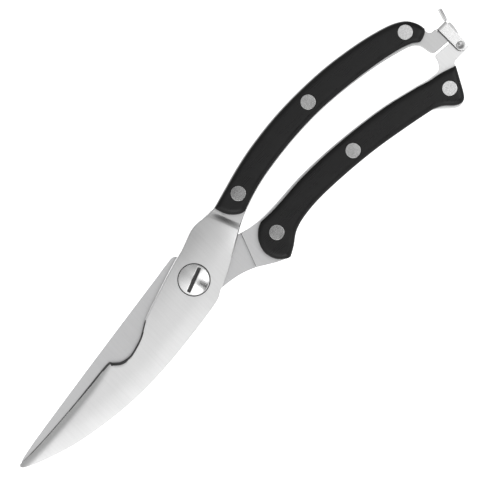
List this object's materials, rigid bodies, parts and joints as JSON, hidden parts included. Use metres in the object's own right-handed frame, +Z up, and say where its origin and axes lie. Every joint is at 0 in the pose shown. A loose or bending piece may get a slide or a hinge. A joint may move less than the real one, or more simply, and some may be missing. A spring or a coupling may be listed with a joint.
{
  "type": "poultry shears",
  "caption": "Poultry shears lying closed: crossed forged blades with a bone notch, a slotted pivot screw, curved riveted black handles, and a swinging clasp that locks the handle ends.",
  "frame": {"origin": "on the pivot axis, in the plane of the pivot nut's flat back face, which is also the plane of the back scales and the plane that the shears lie on", "axes": "+X from the pivot towards the handles, so the blade tips are at -X; +Y from the lower handle to the upper one; +Z up out of the resting plane, towards the side with the slotted screw"},
  "size_m": [0.2537, 0.0508, 0.0129],
  "materials": {
    "blade_steel": "satin ground, bright",
    "blade_steel_behind": "satin ground",
    "scale_plastic": "black, satin moulded",
    "rivet_metal": "ground flush, matte",
    "polished_screw": "polished",
    "nut_steel": "turned",
    "spring_steel": "drawn wire and spring sheet",
    "clasp_sheet": "tumbled bright",
    "pin_steel": "formed head"
  },
  "bodies": {
    "lower_half": {"rear_blade": "blade_steel_behind", "lower_scale_front": "scale_plastic", "lower_scale_back": "scale_plastic", "lower_rivet_tube_1": "rivet_metal", "lower_rivet_tube_2": "rivet_metal", "lower_rivet_tube_3": "rivet_metal", "lower_rivet_pin_1": "rivet_metal", "lower_rivet_pin_2": "rivet_metal", "lower_rivet_pin_3": "rivet_metal", "pivot_nut": "nut_steel", "pivot_screw": "polished_screw", "spring_washer": "spring_steel", "opening_spring": "spring_steel", "clasp_pin": "pin_steel"},
    "upper_half": {"front_blade": "blade_steel", "upper_scale_front": "scale_plastic", "upper_scale_back": "scale_plastic", "upper_rivet_tube_1": "rivet_metal", "upper_rivet_tube_2": "rivet_metal", "upper_rivet_tube_3": "rivet_metal", "upper_rivet_pin_1": "rivet_metal", "upper_rivet_pin_2": "rivet_metal", "upper_rivet_pin_3": "rivet_metal"},
    "clasp": {"clasp": "clasp_sheet"}
  },
  "joints": [
    {"name": "main_pivot", "type": "hinge", "parent": "lower_half", "child": "upper_half", "pos_m": [0, 0, 0.00645], "axis": [0, 0, 1], "range_deg": [0, 32], "deforming": ["opening_spring"]},
    {"name": "clasp_swing", "type": "hinge", "parent": "lower_half", "child": "clasp", "pos_m": [0.144, -0.00915, 0.00645], "axis": [0, 0, -1], "range_deg": [0, 195]}
  ]
}
